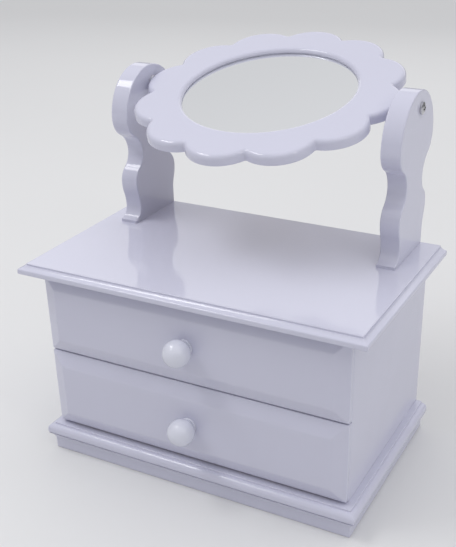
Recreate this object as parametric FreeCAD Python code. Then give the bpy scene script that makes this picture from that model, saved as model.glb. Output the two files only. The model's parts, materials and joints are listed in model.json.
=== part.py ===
"""Lacquered wooden jewelry box: two drawers below, a round scalloped mirror tilting between two posts.

Millimetres. +X is to the right seen from the front, +Y is to the back, +Z is up.
The origin is the middle of the plinth's underside, where the box stands.
Every function builds one piece, and each piece is written to parts/NODE.step.
"""
import FreeCAD, Part
import math
import os
from FreeCAD import Vector

# ---------------------------------------------------------------- driving sizes
# carcass
carcass_width = 268.0        # over the two side panels
carcass_front_gap = 18.5     # from the top board's front edge to the side panels' front edges
side_thickness = 9.0
shelf_thickness = 6.0
housing_depth = 3.0          # groove in each side panel that holds the shelf
back_thickness = 4.0
back_rebate = 4.0            # how far the back panel laps onto each side panel
# top board
top_depth = 182.0
top_thickness = 8.0
top_overhang = 16.0          # past each side panel
top_edge_inset = 5.5         # flat top surface stops this far inside the outer edge
quirk_depth = 1.5            # small step where a moulding starts
top_quirk_flat = 0.6         # level strip at the foot of the step
top_hollow_fall = 1.9        # hollow between the step and the nose
top_hollow_bow = 0.35
top_nose_inset = 1.5
top_nose_fall = 1.4
top_nose_bow = 0.42
# base board and plinth board
base_overhang = 10.0         # past each side panel
base_thickness = 10.0
base_front_inset = 4.5       # base lip behind the top board's front edge
base_edge_inset = 4.8
base_nose_fall = 4.6
base_nose_bow = 1.5
base_lip_round = 2.0
plinth_height = 16.0
plinth_lip = 0.5             # underside of the lip left showing
cove_depth = 4.0             # hollow under the lip, back to the plinth's upright face
cove_height = 7.5
edge_round = 0.8             # softened arrises on painted boards
# drawers
front_height = 70.0          # one drawer front
front_thickness = 10.0
bevel_width = 12.0           # sloping border round each drawer front
bevel_depth = 5.5
bevel_blend = 1.5            # length over which the slope blends into the raised field
bottom_gap = 2.3             # base board to lower front
middle_gap = 1.2             # between the two fronts
top_gap = 0.8                # upper front to top board
front_seat_gap = 0.3         # drawer front to side panel edge
drawer_side_clearance = 0.8
drawer_bottom_clearance = 0.3
drawer_top_clearance = 1.6
drawer_back_clearance = 4.0
drawer_wall = 6.0
drawer_bottom_thickness = 3.0
drawer_groove_depth = 3.0
drawer_groove_height = 3.0   # groove above the drawer's lower edge
groove_clearance = 0.15
lining_thickness = 1.5
lining_clearance = 0.3
# knobs
knob_ball_radius = 11.0
knob_ball_centre = 11.8      # from the raised field
knob_neck_radius = 5.0
knob_foot_radius = 6.8
knob_foot_thickness = 1.3
knob_foot_round = 0.6
knob_screw_radius = 2.0
knob_screw_head_radius = 4.0
knob_screw_head_height = 2.4
knob_screw_grip = 10.0       # length of screw inside the knob
fixed_fit = 0.05             # radial clearance of a screw in its own hole
# mirror posts
post_thickness = 16.0
post_edge_inset = 22.5       # top board's side edge to the post's outer face
post_back_inset = 0.3        # top board's back edge to the post's back
foot_flare = 9.0             # toe in front of the pinch
foot_toe_height = 2.5
pinch_half_depth = 27.7
bulge_half_depth = 32.0
waist_half_depth = 19.0
head_radius = 39.0
pinch_share = 0.137          # heights of the outline's turning points, as shares of
bulge_share = 0.38           # the height of the head's centre above the board
waist_share = 0.643
post_edge_round = 1.0
pivot_above_head = 25.0      # pivot screw above the centre of the head
pivot_behind_head = 3.5
# mirror
mirror_tilt = 13.9           # degrees that the glass leans from level towards the front
lobe_count = 12
rim_clearance = 7.0          # lobe tips over the top board when the mirror is upright
washer_thickness = 1.4
washer_radius = 4.0
washer_side_play = 0.2
spot_face_depth = 1.0        # flat on the two lobe tips at the pivot
spot_face_radius = 5.6
notch_depth = 11.0           # from the circle of the lobe tips to the notches
notch_round = 1.5
ring_width = 39.3            # lobe tips to the opening
frame_thickness = 9.0
frame_top_round = 4.0
frame_back_round = 1.0
opening_round = 4.0
glass_depth = 4.3            # glass below the frame's front face
glass_thickness = 3.0
glass_lap = 6.0              # glass behind the lip
glass_clearance = 0.5
# pivot screws
pivot_radius = 2.0
pivot_running_fit = 0.08     # radial clearance in the post
pivot_head_radius = 4.8
pivot_head_height = 2.8
insert_radius = 2.7
insert_length = 11.0
cross_length = 5.4           # cross recess in a screw head
cross_width = 1.1
cross_depth = 1.6
cross_share = 1.15           # longest cross recess, as a share of the head's radius
crown_share = 0.45           # domed part of a pan head, as a share of its height
head_land = 0.3              # straight edge of a countersunk head
# mirror clips
clip_count = 4
clip_length = 20.0
clip_width = 8.0
clip_thickness = 1.0
clip_lap = 7.0               # how far a clip reaches over the backing
clip_screw_radius = 1.2
clip_screw_head_radius = 2.4
clip_screw_head_height = 1.3
clip_screw_length = 6.0
clip_screw_tip = 1.2
clip_end_flat = 0.4          # left straight between a clip's rounded corners
# wood screws, dowels and pins
wood_screw_radius = 1.75
wood_screw_head_radius = 3.5
wood_screw_head_height = 2.2
wood_screw_tip = 3.0
post_screw_length = 35.0
post_screw_spacing = 30.0
base_screw_length = 52.0
base_screw_recess = 2.0
base_screw_inset = 30.0      # from the ends of the side panels
dowel_radius = 2.5
dowel_length = 20.0
dowel_in_top = 5.0
dowel_inset = 25.0
pin_radius = 0.7
pin_head_radius = 1.6
pin_head_height = 0.8
pin_length = 18.0
pin_end_inset = 15.0         # from the floor and the ceiling of each drawer's bay
pin_tip = 1.5

# ---------------------------------------------------------------- derived places
half_carcass = carcass_width / 2
half_inner = half_carcass - side_thickness
half_top = half_carcass + top_overhang
half_base = half_carcass + base_overhang
top_front_y = -top_depth / 2
back_y = top_depth / 2
base_front_y = top_front_y + base_front_inset
side_front_y = top_front_y + carcass_front_gap
back_panel_y = back_y - back_thickness
base_z = plinth_height + base_thickness
carcass_height = bottom_gap + 2 * front_height + middle_gap + top_gap
top_under_z = base_z + carcass_height
top_z = top_under_z + top_thickness
shelf_z = base_z + bottom_gap + front_height + middle_gap / 2 - shelf_thickness / 2
front_back_y = side_front_y - front_seat_gap
field_y = front_back_y - front_thickness
post_outer_x = half_top - post_edge_inset
post_inner_x = post_outer_x - post_thickness
post_centre_y = back_y - post_back_inset - pinch_half_depth
tip_radius = post_inner_x - washer_side_play - washer_thickness + spot_face_depth
spot_face_x = tip_radius - spot_face_depth
notch_radius = tip_radius - notch_depth
opening_radius = tip_radius - ring_width
rebate_radius = opening_radius + glass_lap + glass_clearance
half_frame = frame_thickness / 2
glass_front_w = half_frame - glass_depth
glass_back_w = glass_front_w - glass_thickness
pivot_z = top_z + tip_radius + rim_clearance
head_z = pivot_z - pivot_above_head
pivot_y = post_centre_y + pivot_behind_head
overrun = 20.0               # how far a cutting tool runs past the wood
UP = Vector(0, 0, 1)
FORWARD = Vector(0, -1, 0)

DRAWERS = {
    "lower": {
        "front_z": base_z + bottom_gap,
        "bay_floor": base_z,
        "bay_ceiling": shelf_z,
    },
    "upper": {
        "front_z": base_z + bottom_gap + front_height + middle_gap,
        "bay_floor": shelf_z + shelf_thickness,
        "bay_ceiling": top_under_z,
    },
}
SIDES = {"left": -1.0, "right": 1.0}


# ---------------------------------------------------------------- helpers
def block(x0, x1, y0, y1, z0, z1):
    """Box between two corners."""
    return Part.makeBox(x1 - x0, y1 - y0, z1 - z0, Vector(x0, y0, z0))


def rod(radius, start, direction, length):
    """Cylinder from a point along a direction."""
    return Part.makeCylinder(radius, length, start, direction)


def line(a, b):
    return Part.makeLine(a, b)


def arc(a, middle, b):
    return Part.Arc(a, middle, b).toShape()


def flip(shape):
    """Mirror image across the plane X = 0."""
    return shape.mirror(Vector(0, 0, 0), Vector(1, 0, 0))


def one_solid(shape):
    """The shape as a plain solid, with split faces joined again."""
    solid = shape.removeSplitter()
    if solid.ShapeType == "Compound" and len(solid.Solids) == 1:
        solid = solid.Solids[0]
    return solid


def edges_where(shape, test):
    """Edges whose sampled points all pass the test."""
    chosen = []
    for edge in shape.Edges:
        points = edge.discretize(5)
        if all(test(point) for point in points):
            chosen.append(edge)
    return chosen


def turned(profile):
    """Solid of revolution about Z from a closed list of (radius, height) corners and arc middles.

    Each entry is (radius, height) for a straight run, or (radius, height, radius, height)
    for an arc through the first point to the second.
    """
    edges = []
    here = Vector(profile[0][0], 0, profile[0][1])
    first = here
    for entry in profile[1:] + [profile[0]]:
        there = Vector(entry[-2], 0, entry[-1])
        if len(entry) == 4:
            edges.append(arc(here, Vector(entry[0], 0, entry[1]), there))
        elif there.distanceToPoint(here) > 1e-6:
            edges.append(line(here, there))
        here = there
    if here.distanceToPoint(first) > 1e-6:
        edges.append(line(here, first))
    face = Part.Face(Part.Wire(edges))
    return face.revolve(Vector(0, 0, 0), Vector(0, 0, 1), 360)


def edge_cutters(width, depth, height, runs, outline):
    """Tools that shape the edges of a board lying between (0, 0, 0) and (width, depth, height).

    outline(place) gives the open chain of edges of the moulding, from the board's upper face to
    its lower face; place(inset, z) turns an inset from the outer edge and a height into a point.
    runs names the edges to shape: front, back, left, right.
    """
    tools = []
    for run in runs:
        if run in ("front", "back"):
            start = -overrun
            length = width + 2 * overrun
            direction = Vector(length, 0, 0)

            def place(inset, z, start=start, at_front=(run == "front")):
                return Vector(start, inset if at_front else depth - inset, z)
        else:
            start = -overrun
            length = depth + 2 * overrun
            direction = Vector(0, length, 0)

            def place(inset, z, start=start, at_left=(run == "left")):
                return Vector(inset if at_left else width - inset, start, z)
        chain = outline(place)
        upper = chain[0].Vertexes[0].Point
        lower = chain[-1].Vertexes[-1].Point
        rise = Vector(0, 0, overrun)
        upper_in = upper + rise
        lower_in = lower - rise
        upper_out = place(-overrun, upper_in.z)
        lower_out = place(-overrun, lower_in.z)
        ring = [line(upper_in, upper)] + chain
        ring += [line(lower, lower_in), line(lower_in, lower_out)]
        ring += [line(lower_out, upper_out), line(upper_out, upper_in)]
        tools.append(Part.Face(Part.Wire(ring)).extrude(direction))
    return tools


def shaped_board(width, depth, height, runs, outline):
    """Board with shaped edges, its lower front left corner at the origin."""
    board = Part.makeBox(width, depth, height)
    for tool in edge_cutters(width, depth, height, runs, outline):
        board = board.cut(tool)
    return one_solid(board)


def screw_along(radius, head_radius, head_height, length, tip, head_cone):
    """Screw along +Z: head's outer face at 0, point at the given length, cross recess in the head."""
    if head_cone:
        profile = [(0, 0), (head_radius, 0), (head_radius, head_land), (radius, head_height)]
    else:
        crown = head_height * crown_share
        dome = (head_radius ** 2 + crown ** 2) / (2 * crown)
        half_turn = math.asin(head_radius / dome) / 2
        profile = [
            (0, 0),
            (
                dome * math.sin(half_turn),
                dome * (1 - math.cos(half_turn)),
                head_radius,
                crown,
            ),
            (head_radius, head_height),
            (radius, head_height),
        ]
    if tip > 0:
        profile += [(radius, length - tip), (0, length)]
    else:
        profile += [(radius, length), (0, length)]
    screw = turned(profile)
    reach = min(cross_length, head_radius * cross_share)
    slot = block(-reach / 2, reach / 2, -cross_width / 2, cross_width / 2, -1, cross_depth)
    screw = screw.cut(slot)
    slot.rotate(Vector(0, 0, 0), Vector(0, 0, 1), 90)
    return one_solid(screw.cut(slot))


def pointed(shape, position, direction):
    """The shape built along +Z, turned to a direction and moved to a position."""
    result = shape.copy()
    result.Placement = FreeCAD.Placement(position, FreeCAD.Rotation(Vector(0, 0, 1), direction))
    return result


# ---------------------------------------------------------------- moulding outlines
def bowed(place, start, end, bow):
    """Arc between two (inset, height) points, its middle standing out from the chord by bow."""
    across = end[0] - start[0]
    fall = end[1] - start[1]
    chord = math.hypot(across, fall)
    middle_inset = (start[0] + end[0]) / 2 + bow * fall / chord
    middle_z = (start[1] + end[1]) / 2 - bow * across / chord
    return arc(place(*start), place(middle_inset, middle_z), place(*end))


def quarter(place, inset, z, radius):
    """Quarter circle from an upright face at an inset down to the level z."""
    share = 1 - math.sqrt(0.5)
    return arc(
        place(inset, z + radius),
        place(inset + radius * share, z + radius * share),
        place(inset + radius, z),
    )


def top_outline(place):
    """Step, hollow, rounded nose and flat edge of the top board."""
    step_z = top_thickness - quirk_depth
    hollow_start = (top_edge_inset - top_quirk_flat, step_z)
    nose_start = (top_nose_inset, step_z - top_hollow_fall)
    nose_end = (0, nose_start[1] - top_nose_fall)
    return [
        line(place(top_edge_inset, top_thickness), place(top_edge_inset, step_z)),
        line(place(top_edge_inset, step_z), place(*hollow_start)),
        bowed(place, hollow_start, nose_start, -top_hollow_bow),
        bowed(place, nose_start, nose_end, top_nose_bow),
        line(place(*nose_end), place(0, edge_round)),
        quarter(place, 0, 0, edge_round),
    ]


def base_outline(place):
    """Step and full rounded nose of the base board."""
    step_z = base_thickness - quirk_depth
    nose_end = (0, step_z - base_nose_fall)
    return [
        line(place(base_edge_inset, base_thickness), place(base_edge_inset, step_z)),
        bowed(place, (base_edge_inset, step_z), nose_end, base_nose_bow),
        line(place(*nose_end), place(0, base_lip_round)),
        quarter(place, 0, 0, base_lip_round),
    ]


def plinth_outline(place):
    """Hollow under the lip, running smoothly into an upright face down to the ground."""
    cove_foot = (cove_depth, plinth_height - cove_height)
    lean = math.atan2(cove_depth, cove_height)
    bow = math.hypot(cove_depth, cove_height) / 2 * math.tan(lean / 2)
    return [
        bowed(place, (0, plinth_height), cove_foot, -bow),
        line(place(*cove_foot), place(cove_depth, edge_round)),
        quarter(place, cove_depth, 0, edge_round),
    ]


def front_outline(place):
    """Raised field, soft blend, straight slope and thin edge of a drawer front."""
    slope = math.atan2(bevel_depth, bevel_width)
    edge_z = front_thickness - bevel_depth
    edge_start = (edge_round, edge_z + edge_round * math.tan(slope))
    edge_end = (0, edge_z - edge_round)
    radius = bevel_blend / math.tan(slope / 2)
    start = place(bevel_width + bevel_blend, front_thickness)
    centre_z = front_thickness - radius
    middle = place(
        bevel_width + bevel_blend - radius * math.sin(slope / 2),
        centre_z + radius * math.cos(slope / 2),
    )
    end_inset = bevel_width - bevel_blend * math.cos(slope)
    end_z = front_thickness - bevel_blend * math.sin(slope)
    return [
        arc(start, middle, place(end_inset, end_z)),
        line(place(end_inset, end_z), place(*edge_start)),
        bowed(place, edge_start, edge_end, edge_round / 4),
        line(place(*edge_end), place(0, edge_round / 2)),
        line(place(0, edge_round / 2), place(edge_round / 2, 0)),
    ]


# ---------------------------------------------------------------- fasteners' places
def post_screw_places():
    """Points on the top board's underside, two under each post."""
    places = []
    for side in SIDES.values():
        for step in (-0.5, 0.5):
            x = side * (post_outer_x - post_thickness / 2)
            places.append(Vector(x, post_centre_y + step * post_screw_spacing, top_under_z))
    return places


def base_screw_places():
    """Points on the plinth's underside, two under each side panel."""
    places = []
    for side in SIDES.values():
        for y in (side_front_y + base_screw_inset, back_panel_y - base_screw_inset):
            x = side * (half_carcass - side_thickness / 2)
            places.append(Vector(x, y, base_screw_recess))
    return places


def dowel_places():
    """Lower ends of the dowels that join the side panels to the top board."""
    places = []
    start_z = top_under_z + dowel_in_top - dowel_length
    for side in SIDES.values():
        for y in (side_front_y + dowel_inset, back_panel_y - dowel_inset):
            places.append(Vector(side * (half_carcass - side_thickness / 2), y, start_z))
    return places


def pin_places():
    """Points on the back panel's rear face, two down each side of each drawer's bay."""
    places = []
    for side in SIDES.values():
        for bay in DRAWERS.values():
            for z in (bay["bay_floor"] + pin_end_inset, bay["bay_ceiling"] - pin_end_inset):
                places.append(Vector(side * (half_inner + back_rebate / 2), back_y, z))
    return places


def wood_screw(length):
    return screw_along(
        wood_screw_radius,
        wood_screw_head_radius,
        wood_screw_head_height,
        length,
        wood_screw_tip,
        True,
    )


def pin():
    profile = [(0, 0), (pin_head_radius, 0), (pin_head_radius, pin_head_height)]
    profile += [(pin_radius, pin_head_height), (pin_radius, pin_length - pin_tip), (0, pin_length)]
    return turned(profile)


def drilled(shape, screws):
    """The shape with the room that the screws need, a fixed fit wider than each."""
    result = shape
    for tool in screws:
        if tool.BoundBox.intersect(result.BoundBox):
            result = result.cut(tool)
    return result


def screw_room(radius, head_radius, head_height, length, position, direction):
    """Hole for a countersunk screw: its own outline, wider by the fixed fit."""
    gap = fixed_fit
    profile = [
        (0, -overrun),
        (head_radius + gap, -overrun),
        (head_radius + gap, head_land + gap),
        (radius + gap, head_height + gap),
        (radius + gap, length + gap),
        (0, length + gap),
    ]
    return pointed(turned(profile), position, direction)


def post_screw_rooms():
    return [
        screw_room(
            wood_screw_radius,
            wood_screw_head_radius,
            wood_screw_head_height,
            post_screw_length,
            place,
            UP,
        )
        for place in post_screw_places()
    ]


def base_screw_rooms():
    return [
        screw_room(
            wood_screw_radius,
            wood_screw_head_radius,
            wood_screw_head_height,
            base_screw_length,
            place,
            UP,
        )
        for place in base_screw_places()
    ]


def dowel_rooms():
    return [
        rod(dowel_radius + fixed_fit, place - UP * fixed_fit, UP, dowel_length + 2 * fixed_fit)
        for place in dowel_places()
    ]


def pin_rooms():
    rooms = []
    for place in pin_places():
        gap = fixed_fit
        profile = [
            (0, -overrun),
            (pin_head_radius + gap, -overrun),
            (pin_head_radius + gap, pin_head_height + gap),
            (pin_radius + gap, pin_head_height + gap),
            (pin_radius + gap, pin_length + gap),
            (0, pin_length + gap),
        ]
        rooms.append(pointed(turned(profile), place, FORWARD))
    return rooms


# ---------------------------------------------------------------- carcass
def top_board():
    board = shaped_board(
        2 * half_top, top_depth, top_thickness, ("front", "left", "right"), top_outline
    )
    board.translate(Vector(-half_top, top_front_y, top_under_z))
    return drilled(board, post_screw_rooms() + dowel_rooms())


def base_board():
    depth = back_y - base_front_y
    board = shaped_board(
        2 * half_base, depth, base_thickness, ("front", "left", "right"), base_outline
    )
    board.translate(Vector(-half_base, base_front_y, plinth_height))
    return drilled(board, base_screw_rooms())


def plinth_board():
    depth = back_y - base_front_y - plinth_lip
    width = 2 * (half_base - plinth_lip)
    board = shaped_board(width, depth, plinth_height, ("front", "left", "right"), plinth_outline)
    board.translate(Vector(-width / 2, base_front_y + plinth_lip, 0))
    return drilled(board, base_screw_rooms())


def side_panel(side):
    """Right panel with the shelf housing and the back rebate, mirrored for the left."""
    panel = block(half_inner, half_carcass, side_front_y, back_y, base_z, top_under_z)
    front_edges = edges_where(panel, lambda p: abs(p.y - side_front_y) < 1e-6)
    upright = [edge for edge in front_edges if abs(edge.tangentAt(edge.FirstParameter).z) > 0.9]
    panel = panel.makeFillet(edge_round / 2, upright)
    housing = block(
        half_inner - 1,
        half_inner + housing_depth,
        side_front_y - 1,
        back_panel_y,
        shelf_z,
        shelf_z + shelf_thickness,
    )
    rebate = block(
        half_inner - 1, half_inner + back_rebate, back_panel_y, back_y + 1, base_z - 1, top_under_z + 1
    )
    panel = panel.cut(housing).cut(rebate)
    if side < 0:
        panel = flip(panel)
    return drilled(panel, base_screw_rooms() + dowel_rooms() + pin_rooms())


def shelf():
    reach = half_inner + housing_depth
    return block(-reach, reach, side_front_y, back_panel_y, shelf_z, shelf_z + shelf_thickness)


def back_panel():
    reach = half_inner + back_rebate
    panel = block(-reach, reach, back_panel_y, back_y, base_z, top_under_z)
    return drilled(panel, pin_rooms())


# ---------------------------------------------------------------- drawers
def drawer_frame(name):
    """Named faces of one drawer box."""
    bay = DRAWERS[name]
    faces = dict(bay)
    faces["floor"] = bay["bay_floor"] + drawer_bottom_clearance
    faces["rim"] = bay["bay_ceiling"] - drawer_top_clearance
    faces["half_width"] = half_inner - drawer_side_clearance
    faces["rear"] = back_panel_y - drawer_back_clearance
    faces["panel_z"] = faces["floor"] + drawer_groove_height
    faces["knob_z"] = bay["front_z"] + front_height / 2
    return faces


def knob_screw_room(name):
    faces = drawer_frame(name)
    inside_y = front_back_y + drawer_wall
    start = Vector(0, inside_y + 1, faces["knob_z"])
    length = inside_y + 1 - field_y + knob_screw_grip + fixed_fit
    return rod(knob_screw_radius + fixed_fit, start, FORWARD, length)


def drawer_front(name):
    """Overlay front with a raised field, facing the front."""
    faces = drawer_frame(name)
    runs = ("front", "back", "left", "right")
    board = shaped_board(carcass_width, front_height, front_thickness, runs, front_outline)
    board.rotate(Vector(0, 0, 0), Vector(1, 0, 0), 90)
    board.translate(Vector(-half_carcass, front_back_y, faces["front_z"]))
    return board.cut(knob_screw_room(name))


def drawer_bottom_groove(name):
    """Room for the drawer's bottom panel, cut into the four walls."""
    faces = drawer_frame(name)
    reach = faces["half_width"] - drawer_wall + drawer_groove_depth + groove_clearance
    return block(
        -reach,
        reach,
        front_back_y + drawer_wall - drawer_groove_depth - groove_clearance,
        faces["rear"] - drawer_wall + drawer_groove_depth + groove_clearance,
        faces["panel_z"],
        faces["panel_z"] + drawer_bottom_thickness + groove_clearance,
    )


def drawer_inner_front(name):
    faces = drawer_frame(name)
    wall = block(
        -faces["half_width"],
        faces["half_width"],
        front_back_y,
        front_back_y + drawer_wall,
        faces["floor"],
        faces["rim"],
    )
    return wall.cut(drawer_bottom_groove(name)).cut(knob_screw_room(name))


def drawer_side(name, side):
    faces = drawer_frame(name)
    wall = block(
        faces["half_width"] - drawer_wall,
        faces["half_width"],
        front_back_y + drawer_wall,
        faces["rear"],
        faces["floor"],
        faces["rim"],
    )
    wall = wall.cut(drawer_bottom_groove(name))
    return flip(wall) if side < 0 else wall


def drawer_back(name):
    faces = drawer_frame(name)
    reach = faces["half_width"] - drawer_wall
    wall = block(
        -reach, reach, faces["rear"] - drawer_wall, faces["rear"], faces["floor"], faces["rim"]
    )
    return wall.cut(drawer_bottom_groove(name))


def drawer_bottom(name):
    faces = drawer_frame(name)
    reach = faces["half_width"] - drawer_wall + drawer_groove_depth
    return block(
        -reach,
        reach,
        front_back_y + drawer_wall - drawer_groove_depth,
        faces["rear"] - drawer_wall + drawer_groove_depth,
        faces["panel_z"],
        faces["panel_z"] + drawer_bottom_thickness,
    )


def drawer_lining(name):
    """Felt sheet laid on the drawer's bottom panel."""
    faces = drawer_frame(name)
    reach = faces["half_width"] - drawer_wall - lining_clearance
    top_of_panel = faces["panel_z"] + drawer_bottom_thickness
    return block(
        -reach,
        reach,
        front_back_y + drawer_wall + lining_clearance,
        faces["rear"] - drawer_wall - lining_clearance,
        top_of_panel,
        top_of_panel + lining_thickness,
    )


def knob(name):
    """Turned ball knob on a small foot, drilled for its screw."""
    faces = drawer_frame(name)
    ball_low = knob_ball_centre - math.sqrt(knob_ball_radius ** 2 - knob_neck_radius ** 2)
    foot_edge = knob_foot_radius - knob_foot_round
    corner = knob_foot_round * math.sqrt(0.5)
    profile = [
        (0, 0),
        (knob_foot_radius, 0),
        (knob_foot_radius, knob_foot_thickness - knob_foot_round),
        (
            foot_edge + corner,
            knob_foot_thickness - knob_foot_round + corner,
            foot_edge,
            knob_foot_thickness,
        ),
        (knob_neck_radius, ball_low),
        (knob_ball_radius, knob_ball_centre, 0, knob_ball_centre + knob_ball_radius),
    ]
    solid = turned(profile)
    solid = pointed(solid, Vector(0, field_y, faces["knob_z"]), FORWARD)
    return solid.cut(knob_screw_room(name))


def knob_screw(name):
    faces = drawer_frame(name)
    inside_y = front_back_y + drawer_wall
    length = knob_screw_head_height + inside_y - field_y + knob_screw_grip
    screw = screw_along(
        knob_screw_radius, knob_screw_head_radius, knob_screw_head_height, length, 0, False
    )
    return pointed(screw, Vector(0, inside_y + knob_screw_head_height, faces["knob_z"]), FORWARD)


# ---------------------------------------------------------------- mirror posts
def s_curve(low, high):
    """Two equal arcs between two upright tangents; low and high are (depth, height)."""
    spread = high[0] - low[0]
    rise = high[1] - low[1]
    radius = (spread ** 2 + rise ** 2) / (4 * abs(spread))
    sense = math.copysign(1.0, spread)
    turn = math.asin(rise / (2 * radius)) / 2
    bulge = radius * (1 - math.cos(turn))
    middle = Vector(0, low[0] + spread / 2, low[1] + rise / 2)
    lower = Vector(0, low[0] + sense * bulge, low[1] + radius * math.sin(turn))
    upper = Vector(0, high[0] - sense * bulge, high[1] - radius * math.sin(turn))
    return [
        arc(Vector(0, low[0], low[1]), lower, middle),
        arc(middle, upper, Vector(0, high[0], high[1])),
    ]


def post_outline():
    """Closed outline of a post in depth and height: toe, pinch, bulge, waist and round head."""
    rise = head_z - top_z
    turning = [
        (pinch_half_depth, top_z + pinch_share * rise),
        (bulge_half_depth, top_z + bulge_share * rise),
        (waist_half_depth, top_z + waist_share * rise),
        (head_radius, head_z),
    ]
    pinch_z = turning[0][1]
    waves = []
    for low, high in zip(turning, turning[1:]):
        waves += s_curve(low, high)
    front = [edge.mirror(Vector(0, 0, 0), Vector(0, 1, 0)) for edge in waves]
    toe_y = -pinch_half_depth - foot_flare
    toe_z = top_z + foot_toe_height
    flare_rise = pinch_z - toe_z
    flare_radius = (foot_flare ** 2 + flare_rise ** 2) / (2 * foot_flare)
    half_turn = math.asin(min(1.0, flare_rise / flare_radius)) / 2
    flare_middle = Vector(
        0,
        -pinch_half_depth - flare_radius * (1 - math.cos(half_turn)),
        pinch_z - flare_radius * math.sin(half_turn),
    )
    flare = arc(Vector(0, -pinch_half_depth, pinch_z), flare_middle, Vector(0, toe_y, toe_z))
    toe = line(Vector(0, toe_y, toe_z), Vector(0, toe_y, top_z))
    sole = line(Vector(0, toe_y, top_z), Vector(0, pinch_half_depth, top_z))
    heel = line(Vector(0, pinch_half_depth, top_z), Vector(0, pinch_half_depth, pinch_z))
    crown = arc(
        Vector(0, head_radius, head_z),
        Vector(0, 0, head_z + head_radius),
        Vector(0, -head_radius, head_z),
    )
    return Part.Wire(Part.__sortEdges__(waves + [crown] + front + [flare, toe, sole, heel]))


def mirror_post(side):
    outline = post_outline()
    outline.translate(Vector(post_inner_x, post_centre_y, 0))
    post = Part.Face(outline).extrude(Vector(post_thickness, 0, 0))
    rims = edges_where(
        post,
        lambda p: min(abs(p.x - post_inner_x), abs(p.x - post_outer_x)) < 1e-6 and p.z > top_z - 1e-6,
    )
    rims = [edge for edge in rims if edge.BoundBox.ZMax > top_z + 1e-3]
    post = post.makeFillet(post_edge_round, rims)
    if side < 0:
        post = flip(post)
    bore = rod(
        pivot_radius + pivot_running_fit,
        Vector(side * (post_inner_x - 1), pivot_y, pivot_z),
        Vector(side, 0, 0),
        post_thickness + 2,
    )
    return drilled(post.cut(bore), post_screw_rooms())


# ---------------------------------------------------------------- mirror
def at_tilt(shape):
    """A shape built level about the pivot axis, tilted and moved to its place."""
    shape.rotate(Vector(0, 0, 0), Vector(1, 0, 0), mirror_tilt)
    shape.translate(Vector(0, pivot_y, pivot_z))
    return shape


def around(radius, angle):
    return Vector(radius * math.cos(angle), radius * math.sin(angle), 0)


def scalloped_wire(z):
    """Ring of equal lobes, the first on the pivot axis, with rounded notches between them."""
    half_pitch = math.pi / lobe_count
    half_chord = notch_radius * math.sin(half_pitch)
    sagitta = tip_radius - notch_radius * math.cos(half_pitch)
    lobe_radius = (half_chord ** 2 + sagitta ** 2) / (2 * sagitta)
    lobe_centre = tip_radius - lobe_radius
    reach = lobe_radius + notch_round
    along = lobe_centre * math.cos(half_pitch)
    across = lobe_centre * math.sin(half_pitch)
    notch_centre = along + math.sqrt(reach ** 2 - across ** 2)
    edges = []
    for lobe in range(lobe_count):
        heading = 2 * half_pitch * lobe
        middle = around(lobe_centre, heading)
        ends = []
        for step in (-half_pitch, half_pitch):
            towards = around(notch_centre, heading + step) - middle
            ends.append(middle + towards * (lobe_radius / reach))
        edges.append(arc(ends[0], around(tip_radius, heading), ends[1]))
        next_heading = heading + 2 * half_pitch
        next_middle = around(lobe_centre, next_heading)
        towards = around(notch_centre, heading + half_pitch) - next_middle
        next_start = next_middle + towards * (lobe_radius / reach)
        bottom = around(notch_centre - notch_round, heading + half_pitch)
        edges.append(arc(ends[1], bottom, next_start))
    wire = Part.Wire(Part.__sortEdges__(edges))
    wire.translate(Vector(0, 0, z))
    return wire


def pivot_insert_room(side):
    start = Vector(side * (spot_face_x + 1), 0, 0)
    return rod(insert_radius + fixed_fit, start, Vector(-side, 0, 0), 1 + insert_length + fixed_fit)


def clip_headings():
    return [2 * math.pi * (index + 0.5) / clip_count for index in range(clip_count)]


def clip_screw_radius_place():
    return rebate_radius + (clip_length - clip_lap) / 2


def mirror_frame():
    """Scalloped ring with a soft front edge, a lip over the glass and a rebate behind it."""
    ring = Part.Face(scalloped_wire(-half_frame)).extrude(Vector(0, 0, frame_thickness))
    far_out = opening_radius + 5
    front_rim = edges_where(
        ring, lambda p: p.z > half_frame - 1e-6 and math.hypot(p.x, p.y) > far_out
    )
    ring = ring.makeFillet(frame_top_round, front_rim)
    back_rim = edges_where(
        ring, lambda p: p.z < -half_frame + 1e-6 and math.hypot(p.x, p.y) > far_out
    )
    ring = ring.makeFillet(frame_back_round, back_rim)
    opening = rod(opening_radius, Vector(0, 0, -half_frame - 1), UP, frame_thickness + 2)
    ring = ring.cut(opening)
    lip = edges_where(
        ring, lambda p: p.z > half_frame - 1e-6 and math.hypot(p.x, p.y) < far_out
    )
    ring = ring.makeFillet(opening_round, lip)
    rebate = rod(rebate_radius, Vector(0, 0, -half_frame - 1), UP, 1 + half_frame + glass_front_w)
    ring = ring.cut(rebate)
    for side in SIDES.values():
        flat = rod(
            spot_face_radius, Vector(side * spot_face_x, 0, 0), Vector(side, 0, 0), overrun
        )
        ring = ring.cut(flat).cut(pivot_insert_room(side))
    for heading in clip_headings():
        start = around(clip_screw_radius_place(), heading) - UP * (half_frame + 1)
        ring = ring.cut(rod(clip_screw_radius + fixed_fit, start, UP, 1 + clip_screw_length))
    return at_tilt(one_solid(ring))


def mirror_glass():
    radius = opening_radius + glass_lap
    return at_tilt(rod(radius, UP * glass_back_w, UP, glass_thickness))


def mirror_backing():
    radius = opening_radius + glass_lap
    return at_tilt(rod(radius, UP * -half_frame, UP, half_frame + glass_back_w))


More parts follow.
